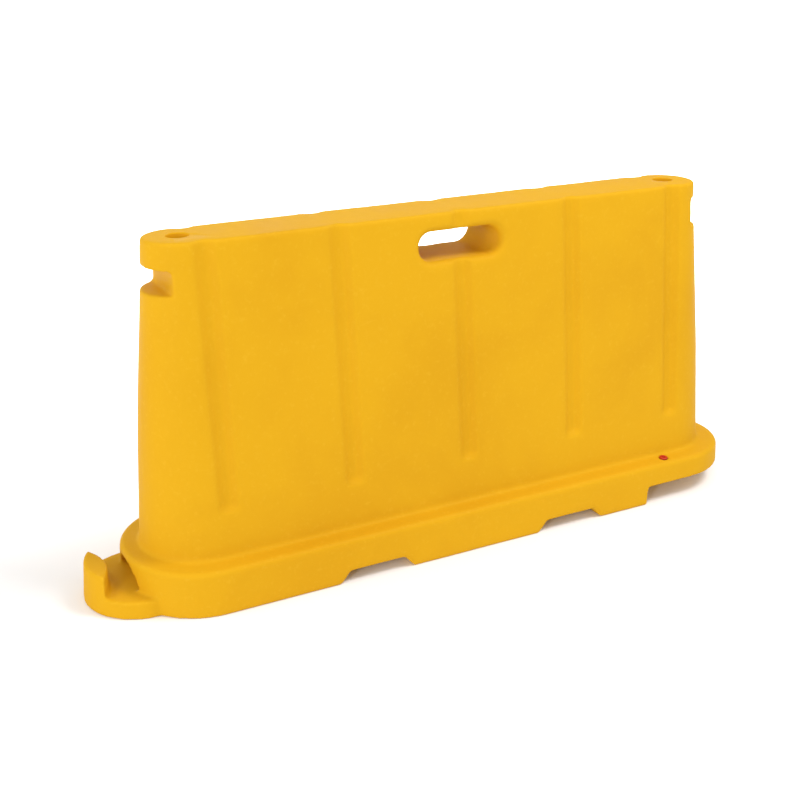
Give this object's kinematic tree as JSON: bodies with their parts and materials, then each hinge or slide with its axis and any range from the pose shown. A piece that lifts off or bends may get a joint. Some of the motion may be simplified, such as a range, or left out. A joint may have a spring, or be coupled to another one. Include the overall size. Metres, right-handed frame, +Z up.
{
  "type": "crowd control barrier",
  "caption": "Low interlocking plastic barrier wall with fluted faces, hand slot, wide ballast base, coupling tongue and socket, screwed fill caps and ledge plug.",
  "frame": {"origin": "on the ground under the middle of the base plinth and the middle flute", "axes": "+X along the length from the coupling tongue to the socket end, +Y from the front face to the back face, +Z up"},
  "size_m": [1.9774, 0.4464, 0.914],
  "materials": {
    "yellow_shell": "rotomoulded polyethylene, fine orange-peel texture, semi-matt",
    "yellow_cap": "injection moulded polyethylene, satin",
    "red_plug": "injection moulded polypropylene, satin gloss",
    "insert_plastic": "moulded-in threaded bush, matt",
    "black_rubber": "flat sealing ring, matt"
  },
  "bodies": {
    "shell": {"barrier_shell": "yellow_shell", "left_fill_insert": "insert_plastic", "right_fill_insert": "insert_plastic", "ledge_plug_insert": "insert_plastic"},
    "left_fill_gasket": {"left_fill_gasket": "black_rubber"},
    "left_fill_cap": {"left_fill_cap": "yellow_cap"},
    "right_fill_gasket": {"right_fill_gasket": "black_rubber"},
    "right_fill_cap": {"right_fill_cap": "yellow_cap"},
    "ledge_plug_gasket": {"ledge_plug_gasket": "black_rubber"},
    "ledge_plug": {"ledge_plug": "red_plug"}
  },
  "joints": [
    {"name": "left_cap_rise", "type": "slide", "parent": "shell", "child": "left_fill_gasket", "axis": [0, 0, 1], "range_m": [0, 0.02]},
    {"name": "left_cap_turn", "type": "hinge", "parent": "left_fill_gasket", "child": "left_fill_cap", "pos_m": [-0.726, 0, 0.888], "axis": [0, 0, 1], "range_deg": [0, 1800]},
    {"name": "right_cap_rise", "type": "slide", "parent": "shell", "child": "right_fill_gasket", "axis": [0, 0, 1], "range_m": [0, 0.02]},
    {"name": "right_cap_turn", "type": "hinge", "parent": "right_fill_gasket", "child": "right_fill_cap", "pos_m": [0.726, 0, 0.888], "axis": [0, 0, 1], "range_deg": [0, 1800]},
    {"name": "ledge_plug_rise", "type": "slide", "parent": "shell", "child": "ledge_plug_gasket", "axis": [0, -0.0927, 0.9957], "range_m": [0, 0.015]},
    {"name": "ledge_plug_turn", "type": "hinge", "parent": "ledge_plug_gasket", "child": "ledge_plug", "pos_m": [0.65, -0.18677, 0.11929], "axis": [0, -0.0927, 0.9957], "range_deg": [0, 2160]}
  ],
  "couplings": [
    {"joint": "left_cap_rise", "follows": "left_cap_turn", "m_per_rad": 0.00063662},
    {"joint": "right_cap_rise", "follows": "right_cap_turn", "m_per_rad": 0.00063662},
    {"joint": "ledge_plug_rise", "follows": "ledge_plug_turn", "m_per_rad": 0.00039789}
  ]
}
